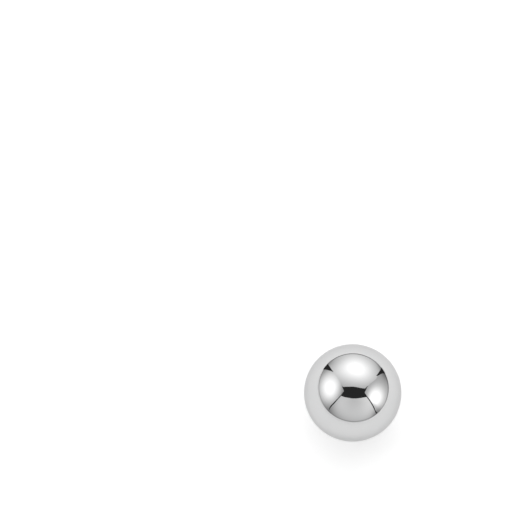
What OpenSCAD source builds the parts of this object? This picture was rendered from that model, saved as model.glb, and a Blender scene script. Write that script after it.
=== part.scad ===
// Polished steel ball
//
// A solid ball as sold loose for bearings, valves, detents and weights. It is
// ground and lapped to one true sphere, with no seam, flat, hole or mark, so
// its diameter is the only size it has.
//
// Frame: origin at the ball's centre, +Z up, millimetres.

/* [Ball] */
// Nominal diameter, the size that the ball is ordered by
ball_d = 10; // [1:0.5:50]

/* [Hidden] */
// Facets round the great circle when the ball is drawn as a mesh
$fn = 180;

// The one solid. Its lowest point, where it touches a seat or a table,
// lies half a diameter below the origin.
module ball() {
    color([0.80, 0.80, 0.80])
        sphere(d = ball_d);
}

ball();
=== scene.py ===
import bpy
import math
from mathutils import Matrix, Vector


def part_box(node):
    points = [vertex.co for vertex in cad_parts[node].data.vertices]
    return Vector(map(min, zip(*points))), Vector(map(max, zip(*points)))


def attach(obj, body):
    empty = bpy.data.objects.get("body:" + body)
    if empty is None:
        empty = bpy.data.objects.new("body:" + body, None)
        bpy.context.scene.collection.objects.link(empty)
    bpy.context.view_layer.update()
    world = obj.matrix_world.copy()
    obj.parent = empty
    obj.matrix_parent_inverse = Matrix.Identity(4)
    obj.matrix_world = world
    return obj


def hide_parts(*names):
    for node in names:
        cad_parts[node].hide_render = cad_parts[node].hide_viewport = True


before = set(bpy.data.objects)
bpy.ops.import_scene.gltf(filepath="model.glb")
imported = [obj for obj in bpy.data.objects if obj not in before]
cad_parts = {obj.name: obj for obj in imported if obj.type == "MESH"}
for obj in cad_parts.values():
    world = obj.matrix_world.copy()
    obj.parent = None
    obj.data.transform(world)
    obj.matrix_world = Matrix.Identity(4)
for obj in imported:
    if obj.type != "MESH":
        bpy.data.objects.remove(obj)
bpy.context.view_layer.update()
ballLow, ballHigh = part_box("ball")
ballRadius = (ballHigh.z - ballLow.z) / 2
print("frame loaded, ball radius in mm:", round(ballRadius * 1000, 3))


def deselectAll():
    if bpy.context.object and bpy.context.object.mode != "OBJECT":
        bpy.ops.object.mode_set(mode="OBJECT")
    bpy.ops.object.select_all(action="DESELECT")


def newObject(name):
    # names what the last operator has made
    made = bpy.context.object
    made.name = name
    made.data.name = name
    return made


def giveMaterial(target, material):
    target.data.materials.clear()
    target.data.materials.append(material)


def blankMaterial(name):
    material = bpy.data.materials.new(name)
    material.use_nodes = True
    material.node_tree.nodes.clear()
    return material, material.node_tree


def put(tree, value, socket):
    # a socket takes a link or a plain value
    if isinstance(value, bpy.types.NodeSocket):
        tree.links.new(value, socket)
    else:
        socket.default_value = value


def mathNode(tree, operation, *values):
    node = tree.nodes.new("ShaderNodeMath")
    node.operation = operation
    for socket, value in zip(node.inputs, values):
        put(tree, value, socket)
    return node.outputs["Value"]


def rangeNode(tree, value, source, target):
    node = tree.nodes.new("ShaderNodeMapRange")
    put(tree, value, node.inputs["Value"])
    for name, number in zip(("From Min", "From Max", "To Min", "To Max"), (*source, *target)):
        put(tree, number, node.inputs[name])
    return node.outputs["Result"]


def noiseNode(tree, place, scale, detail):
    node = tree.nodes.new("ShaderNodeTexNoise")
    node.inputs["Scale"].default_value = scale
    node.inputs["Detail"].default_value = detail
    tree.links.new(place, node.inputs["Vector"])
    return node.outputs["Fac"]


def bellNode(tree, squared):
    # e to the minus this: 1 in the middle, falling softly to 0
    return mathNode(tree, "POWER", math.e, mathNode(tree, "MULTIPLY", squared, -1.0))


def shadeNode(tree, light, bell, share):
    lost = mathNode(tree, "MULTIPLY", bell, share)
    return mathNode(tree, "MULTIPLY", light, mathNode(tree, "SUBTRACT", 1.0, lost))


# The ball starts as a cube cut into a fine grid and is blown up to a true sphere, so that it has
# no poles and its faces are all about as large.
ball = {
    "cuts": 95,                          # along each edge of the cube
    "mergeShare": 1e-5,                  # of the radius, for points that coincide
}


def makeBall():
    deselectAll()
    side = 2 * ballRadius / math.sqrt(3)     # the cube's corners already lie on the ball
    bpy.ops.mesh.primitive_cube_add(size=side, location=(0, 0, 0))
    made = newObject("polishedBall")
    bpy.ops.object.mode_set(mode="EDIT")
    bpy.ops.mesh.select_all(action="SELECT")
    bpy.ops.mesh.subdivide(number_cuts=ball["cuts"])
    bpy.ops.object.mode_set(mode="OBJECT")
    rounder = made.modifiers.new("trueSphere", "CAST")
    rounder.cast_type = "SPHERE"
    rounder.factor = 1.0
    rounder.use_radius_as_size = False
    rounder.radius = 0.0
    rounder.size = ballRadius
    bpy.ops.object.modifier_apply(modifier=rounder.name)
    bpy.ops.object.mode_set(mode="EDIT")
    bpy.ops.mesh.select_all(action="SELECT")
    bpy.ops.mesh.remove_doubles(threshold=ballRadius * ball["mergeShare"])
    bpy.ops.mesh.normals_make_consistent(inside=False)
    bpy.ops.object.mode_set(mode="OBJECT")
    bpy.ops.object.shade_smooth()
    return made


# Bearing steel, ground and lapped until it mirrors. What is left of the lapping is a faint haze in
# clouds and hairlines far too shallow to feel. Scales are per metre.
steel = {
    "colour": (0.60, 0.60, 0.60),        # how much it mirrors, square on
    "hazyColour": (0.585, 0.587, 0.59),  # the same, where the haze is thickest
    "rim": 0.78,                         # how much of the glancing shine steel keeps
    "roughness": (0.018, 0.05),
    "cloudScale": 420.0,                 # clouds about 2 mm across
    "cloudDetail": 3.0,
    "hairScale": 2600.0,
    "hairDetail": 4.0,
    "hairStretch": (1.0, 9.0, 2.5),
    "hairTurn": (0.5, 0.3, 0.9),         # radians
    "hairDepth": 2.5e-8,                 # metres
    "hairShare": 0.4,                    # of the haze, beside the clouds
    "hazeSpan": (0.5, 0.9),              # the noise that gives the least and the most haze
}


def makeSteel():
    material, tree = blankMaterial("polishedSteel")
    output = tree.nodes.new("ShaderNodeOutputMaterial")
    shader = tree.nodes.new("ShaderNodeBsdfPrincipled")
    shader.inputs["Metallic"].default_value = 1.0
    shader.inputs["Specular Tint"].default_value = (steel["rim"], steel["rim"], steel["rim"], 1.0)
    tree.links.new(shader.outputs["BSDF"], output.inputs["Surface"])

    place = tree.nodes.new("ShaderNodeTexCoord").outputs["Object"]
    cloud = noiseNode(tree, place, steel["cloudScale"], steel["cloudDetail"])
    stretch = tree.nodes.new("ShaderNodeMapping")
    stretch.inputs["Rotation"].default_value = steel["hairTurn"]
    stretch.inputs["Scale"].default_value = steel["hairStretch"]
    tree.links.new(place, stretch.inputs["Vector"])
    hair = noiseNode(tree, stretch.outputs["Vector"], steel["hairScale"], steel["hairDetail"])

    both = mathNode(tree, "MULTIPLY_ADD", hair, steel["hairShare"], cloud)
    haze = rangeNode(tree, both, steel["hazeSpan"], (0.0, 1.0))
    tree.links.new(rangeNode(tree, haze, (0.0, 1.0), steel["roughness"]), shader.inputs["Roughness"])
    tint = tree.nodes.new("ShaderNodeMix")
    tint.data_type = "RGBA"
    tree.links.new(haze, tint.inputs["Factor"])
    tint.inputs["A"].default_value = (*steel["colour"], 1.0)
    tint.inputs["B"].default_value = (*steel["hazyColour"], 1.0)
    tree.links.new(tint.outputs["Result"], shader.inputs["Base Color"])

    bump = tree.nodes.new("ShaderNodeBump")
    bump.inputs["Distance"].default_value = steel["hairDepth"]
    tree.links.new(hair, bump.inputs["Height"])
    tree.links.new(bump.outputs["Normal"], shader.inputs["Normal"])
    return material


ballPiece = makeBall()
giveMaterial(ballPiece, makeSteel())
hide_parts("ball")
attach(ballPiece, "root")
print("ball made, faces:", len(ballPiece.data.polygons))


def backgroundRays(tree):
    # 1 for the rays that see the white background: straight, off metal and through glass
    path = tree.nodes.new("ShaderNodeLightPath")
    seen = mathNode(tree, "MAXIMUM", path.outputs["Is Camera Ray"], path.outputs["Is Glossy Ray"])
    return mathNode(tree, "MAXIMUM", seen, path.outputs["Is Transmission Ray"])


# White paper under the ball, with a painted shadow right under it. Lengths are in ball radii.
table = {
    "halfWidth": 60.0,                   # to the walls of the tent
    "albedo": 0.80,
    "lift": 0.33,                        # added for the rays that see the background
    "paintedShadowSize": 0.45,                    # of the painted shadow under the ball: the spot that gets no lift
    "whiteness": (0.03, 1.0),            # added for the camera alone, near the ball and far off
    "fade": (25.0, 50.0),                # where the one turns into the other
}


def makeTable():
    deselectAll()
    width = 2 * table["halfWidth"] * ballRadius
    bpy.ops.mesh.primitive_plane_add(size=width, location=(0, 0, ballLow.z))
    made = newObject("whiteTable")
    material, tree = blankMaterial("whitePaper")
    output = tree.nodes.new("ShaderNodeOutputMaterial")
    paper = tree.nodes.new("ShaderNodeBsdfDiffuse")
    paper.inputs["Color"].default_value = (table["albedo"], table["albedo"], table["albedo"], 1.0)
    away = tree.nodes.new("ShaderNodeVectorMath")
    away.operation = "LENGTH"
    tree.links.new(tree.nodes.new("ShaderNodeTexCoord").outputs["Object"], away.inputs[0])
    fadeSpan = [share * ballRadius for share in table["fade"]]
    whiteness = rangeNode(tree, away.outputs["Value"], fadeSpan, table["whiteness"])
    camera = tree.nodes.new("ShaderNodeLightPath").outputs["Is Camera Ray"]
    # painted shadow: the lift fades out under the ball, so the paper is darker there than its light
    # gives
    fromSeat = mathNode(tree, "DIVIDE", away.outputs["Value"], table["paintedShadowSize"] * ballRadius)
    paintedShadowUnderBall = bellNode(tree, mathNode(tree, "MULTIPLY", fromSeat, fromSeat))
    lift = mathNode(tree, "MULTIPLY", backgroundRays(tree), table["lift"])
    lift = shadeNode(tree, lift, paintedShadowUnderBall, 1.0)
    white = tree.nodes.new("ShaderNodeEmission")
    tree.links.new(mathNode(tree, "MULTIPLY_ADD", whiteness, camera, lift), white.inputs["Strength"])
    both = tree.nodes.new("ShaderNodeAddShader")
    tree.links.new(paper.outputs["BSDF"], both.inputs[0])
    tree.links.new(white.outputs["Emission"], both.inputs[1])
    tree.links.new(both.outputs["Shader"], output.inputs["Surface"])
    giveMaterial(made, material)


# A light tent stands round the ball: four walls of white cloth that lean in and leave an opening
# above, each with a lamp behind it. The ball mirrors the walls, the dark opening and the dark gaps
# between them. Lengths are in ball radii.
tent = {
    "distance": 60.0,                    # from the ball to the foot of each wall
    "foot": -1.0,                        # height of the table
    "hemWidth": 1.6,                     # of the dark line that the hem draws round the foot
    "skirtLight": 1.05,                  # of the cloth below the hem, like that of the table
    "cornerSize": 17.0,                  # how far the shade in a lower corner reaches
    "roomSize": 400.0,
    "roomLevel": 0.032,                  # what little light the room gives back
}
# Bearing: where the wall stands, in degrees, with 0 behind the ball and 90 at its left. Lean: in
# over the ball, in degrees. Outline, lamp, spread, shadow and reach: along the foot and up the
# cloth. Spread, turn and fall: the size of the lamp's pool of light, its slant in degrees, and how
# abruptly it ends. Light: far from the lamp and in front of it. Shadow: the middle of a soft darker
# patch. Reach: its size. Dim: the share of the light it takes. Hem: its height, how much that rises
# along the foot, and the share it takes. Ends: where the cloth is gathered. Corners: the share that
# each of these ends takes near the table.
walls = {
    "backWall": {
        "bearing": 0, "lean": 38,
        "outline": [(-48.5, 0), (-39.5, 39), (-35.5, 62), (-34, 80), (-34.5, 100), (0, 100.5),
                    (26, 107.5), (44, 110), (46.5, 97), (67, 50), (64, 40), (55.5, 45), (66, 0)],
        "lamp": (4.5, 44.9), "spread": (37.3, 29.9), "turn": 27, "fall": 0.59, "light": (0.59, 2.19),
        "shadow": (-27.3, 19.6), "reach": (22.1, 19.9), "dim": 0.18,
        "hem": (2.5, 0.03, 0.80), "ends": (-47.5, 65.5), "corners": (0.52, 0.70),
    },
    "leftWall": {
        "bearing": 90, "lean": 17,
        "outline": [(50, 0), (43.5, 39), (30, 75), (-3, 81.5), (-17, 89.5), (-26.5, 69), (-30.5, 56.5),
                    (-34.5, 40.5), (-38, 22), (-41.5, 14), (-45.5, 8), (-62, 8), (-62, 0)],
        "lamp": (7.2, 39.7), "spread": (29.9, 26.4), "turn": 14, "fall": 0.76, "light": (0.27, 2.99),
        "shadow": (15.4, 43.2), "reach": (25.3, 23.1), "dim": 0.35,
        "hem": (4.9, -0.017, 0.32), "ends": (-44, 49), "corners": (0.21, 0.0),
    },
    "rightWall": {
        "bearing": -90, "lean": 11,
        "outline": [(-37, 0), (-36.5, 12), (-30.5, 30), (-22.5, 38), (-10, 62), (2.5, 75.5), (23, 86),
                    (31, 69), (35.5, 54), (46, 24), (49.5, 17), (50.5, 12), (50.5, 3), (62, 3), (62, 0)],
        "lamp": (24.4, 37.0), "spread": (25.5, 29.5), "turn": -57, "fall": 1.3, "light": (0.64, 2.05),
        "shadow": (42.8, 29.7), "reach": (7.0, 16.8), "dim": 0.35,
        "hem": (0.6, -0.04, 0.67), "ends": (-36.5, 51), "corners": (0.71, 0.51),
    },
    "frontWall": {
        "bearing": 180, "lean": 18,
        "outline": [(72, 0), (71, 12), (67.5, 24), (63, 35), (58, 45), (46, 83.5), (31, 78), (5, 73),
                    (-10, 72.5), (-48, 77), (-52, 61), (-58, 22), (-61.5, 5), (-62, 0)],
        "lamp": (-11.6, 56.7), "spread": (62.7, 81.7), "turn": -82, "fall": 1.6, "light": (0.21, 1.28),
        "shadow": (-2.5, 65.4), "reach": (39.4, 56.3), "dim": 0.35,
        "hem": (4.5, 0.04, 0.45), "ends": (-59, 70.5), "corners": (0.40, 0.0),
    },
}


def patchNode(tree, place, sockets):
    # how far off the middle of a soft patch, counted in its own size and direction
    centred = tree.nodes.new("ShaderNodeMapping")
    centred.vector_type = "TEXTURE"
    tree.links.new(place, centred.inputs["Vector"])
    for name, socket in sockets.items():
        tree.links.new(socket, centred.inputs[name])
    away = tree.nodes.new("ShaderNodeVectorMath")
    away.operation = "LENGTH"
    tree.links.new(centred.outputs["Vector"], away.inputs[0])
    return away.outputs["Value"]


def makeClothLight():
    # the light that a wall lets through: a soft pool round its lamp, a darker patch, less light in
    # the lower corners, then the hem and below it a skirt that lies out on the table
    group = bpy.data.node_groups.new("clothLight", "ShaderNodeTree")
    for name in ("Lamp", "Turn", "Spread", "Shadow", "Reach"):
        group.interface.new_socket(name, in_out="INPUT", socket_type="NodeSocketVector")
    for name in ("Fall", "Far", "Near", "Dim", "First End", "Last End", "First Share", "Last Share"):
        group.interface.new_socket(name, in_out="INPUT", socket_type="NodeSocketFloat")
    for name in ("Hem Height", "Hem Rise", "Hem Share"):
        group.interface.new_socket(name, in_out="INPUT", socket_type="NodeSocketFloat")
    group.interface.new_socket("Light", in_out="OUTPUT", socket_type="NodeSocketFloat")
    given = group.nodes.new("NodeGroupInput").outputs
    place = group.nodes.new("ShaderNodeTexCoord").outputs["Object"]

    lamp = {"Location": given["Lamp"], "Rotation": given["Turn"], "Scale": given["Spread"]}
    power = mathNode(group, "MULTIPLY", given["Fall"], 2.0)
    pool = bellNode(group, mathNode(group, "POWER", patchNode(group, place, lamp), power))
    gain = mathNode(group, "SUBTRACT", given["Near"], given["Far"])
    light = mathNode(group, "MULTIPLY_ADD", pool, gain, given["Far"])
    fromShadow = patchNode(group, place, {"Location": given["Shadow"], "Scale": given["Reach"]})
    shadow = bellNode(group, mathNode(group, "MULTIPLY", fromShadow, fromShadow))
    light = shadeNode(group, light, shadow, given["Dim"])

    split = group.nodes.new("ShaderNodeSeparateXYZ")
    group.links.new(place, split.inputs["Vector"])
    along, up = split.outputs["X"], split.outputs["Y"]
    fromFirst = mathNode(group, "ABSOLUTE", mathNode(group, "SUBTRACT", along, given["First End"]))
    fromLast = mathNode(group, "ABSOLUTE", mathNode(group, "SUBTRACT", along, given["Last End"]))
    fromEnd = mathNode(group, "MINIMUM", fromFirst, fromLast)
    fromEnd = mathNode(group, "DIVIDE", fromEnd, tent["cornerSize"] * ballRadius)
    above = mathNode(group, "DIVIDE", up, tent["cornerSize"] * ballRadius)
    aboveSquared = mathNode(group, "MULTIPLY", above, above)
    corner = bellNode(group, mathNode(group, "MULTIPLY_ADD", fromEnd, fromEnd, aboveSquared))
    ends = (given["First End"], given["Last End"])
    share = rangeNode(group, along, ends, (given["First Share"], given["Last Share"]))
    light = shadeNode(group, light, corner, share)

    hemPlace = mathNode(group, "MULTIPLY_ADD", along, given["Hem Rise"], given["Hem Height"])
    fromHem = mathNode(group, "SUBTRACT", up, hemPlace)
    fromHem = mathNode(group, "DIVIDE", fromHem, tent["hemWidth"] * ballRadius)
    skirt = rangeNode(group, fromHem, (0.0, -1.0), (0.0, 1.0))
    skirtGain = mathNode(group, "SUBTRACT", tent["skirtLight"], light)
    light = mathNode(group, "MULTIPLY_ADD", skirt, skirtGain, light)
    hem = bellNode(group, mathNode(group, "MULTIPLY", fromHem, fromHem))
    light = shadeNode(group, light, hem, given["Hem Share"])

    result = group.nodes.new("NodeGroupOutput")
    group.links.new(light, result.inputs["Light"])
    return group


def makeWallLight(name, wall, clothLight):
    material, tree = blankMaterial(name + "Light")
    output = tree.nodes.new("ShaderNodeOutputMaterial")
    emission = tree.nodes.new("ShaderNodeEmission")
    tree.links.new(emission.outputs["Emission"], output.inputs["Surface"])
    cloth = tree.nodes.new("ShaderNodeGroup")
    cloth.node_tree = clothLight
    hemHeight, hemRise, hemShare = wall["hem"]
    farLight, nearLight = wall["light"]
    firstEnd, lastEnd = wall["ends"]
    firstShare, lastShare = wall["corners"]
    values = {
        "Lamp": Vector((*wall["lamp"], 0)) * ballRadius,
        "Turn": (0, 0, math.radians(wall["turn"])),
        "Spread": Vector((*wall["spread"], 1)) * ballRadius,
        "Shadow": Vector((*wall["shadow"], 0)) * ballRadius,
        "Reach": Vector((*wall["reach"], 1)) * ballRadius,
        "Fall": wall["fall"],
        "Far": farLight,
        "Near": nearLight,
        "Dim": wall["dim"],
        "First End": firstEnd * ballRadius,
        "Last End": lastEnd * ballRadius,
        "First Share": firstShare,
        "Last Share": lastShare,
        "Hem Height": hemHeight * ballRadius,
        "Hem Rise": hemRise,
        "Hem Share": hemShare,
    }
    for socket, value in values.items():
        cloth.inputs[socket].default_value = value
    tree.links.new(cloth.outputs["Light"], emission.inputs["Color"])
    return material


def makeWall(name, wall, clothLight):
    # drawn flat, point after point, then filled, stood up and leaned in over the ball
    deselectAll()
    corners = [Vector((*point, 0)) * ballRadius for point in wall["outline"]]
    bpy.ops.mesh.primitive_plane_add(size=ballRadius, location=(0, 0, 0))
    made = newObject(name)
    bpy.ops.object.mode_set(mode="EDIT")
    bpy.ops.mesh.select_all(action="SELECT")
    bpy.ops.mesh.merge(type="CENTER")
    bpy.ops.transform.translate(value=corners[0])
    for before, after in zip(corners, corners[1:]):
        bpy.ops.mesh.extrude_region_move(TRANSFORM_OT_translate={"value": after - before})
    bpy.ops.mesh.select_all(action="SELECT")
    bpy.ops.mesh.edge_face_add()
    bpy.ops.object.mode_set(mode="OBJECT")
    bearing = math.radians(wall["bearing"])
    reach = tent["distance"] * ballRadius
    made.location = (-math.sin(bearing) * reach, math.cos(bearing) * reach, tent["foot"] * ballRadius)
    made.rotation_euler = (math.radians(90 + wall["lean"]), 0, bearing)
    giveMaterial(made, makeWallLight(name, wall, clothLight))
    made.visible_camera = False


def makeRoom():
    # the unlit room round the tent
    deselectAll()
    bpy.ops.mesh.primitive_cube_add(size=tent["roomSize"] * ballRadius, location=(0, 0, 0))
    made = newObject("darkRoom")
    material, tree = blankMaterial("unlitRoom")
    output = tree.nodes.new("ShaderNodeOutputMaterial")
    dark = tree.nodes.new("ShaderNodeEmission")
    dark.inputs["Strength"].default_value = tent["roomLevel"]
    tree.links.new(dark.outputs["Emission"], output.inputs["Surface"])
    giveMaterial(made, material)
    made.visible_camera = False


makeTable()
clothLight = makeClothLight()
for wallName, wall in walls.items():
    makeWall(wallName, wall, clothLight)
makeRoom()
print("table and light tent made")


def makeWorld():
    world = bpy.data.worlds.new("whiteBackground")
    world.use_nodes = True
    tree = world.node_tree
    tree.nodes.clear()
    output = tree.nodes.new("ShaderNodeOutputWorld")
    white = tree.nodes.new("ShaderNodeBackground")
    white.inputs["Color"].default_value = (1.0, 1.0, 1.0, 1.0)
    tree.links.new(backgroundRays(tree), white.inputs["Strength"])
    tree.links.new(white.outputs["Background"], output.inputs["Surface"])
    bpy.context.scene.world = world


makeWorld()
bpy.context.scene.view_settings.view_transform = "Standard"


view = {
    "imageSize": 522,                    # pixels
    "ballCentre": (352.66, 392.85),      # pixels, from the top left corner
    "ballRadius": 48.92,                 # pixels
    "elevation": 72.0,                   # degrees above the table
    "lens": 244.0,                       # mm
    "clip": (0.01, 10.0),                # shares of the distance to the ball
}


def makeCamera():
    data = bpy.data.cameras.new("camera")
    data.lens = view["lens"]
    camera = bpy.data.objects.new("camera", data)
    bpy.context.scene.collection.objects.link(camera)
    tilt = math.radians(view["elevation"])
    forward = Vector((0, math.cos(tilt), -math.sin(tilt)))
    across = Vector((1, 0, 0))
    up = Vector((0, math.sin(tilt), math.cos(tilt)))
    focal = view["lens"] / data.sensor_width * view["imageSize"]     # in pixels
    depth = focal * ballRadius / view["ballRadius"]
    middle = view["imageSize"] / 2
    offset = [(place - middle) * depth / focal for place in view["ballCentre"]]
    camera.location = -(forward * depth + across * offset[0] - up * offset[1])
    camera.rotation_euler = (math.pi / 2 - tilt, 0, 0)
    data.clip_start, data.clip_end = [share * depth for share in view["clip"]]
    bpy.context.scene.camera = camera


makeCamera()
print("camera placed")
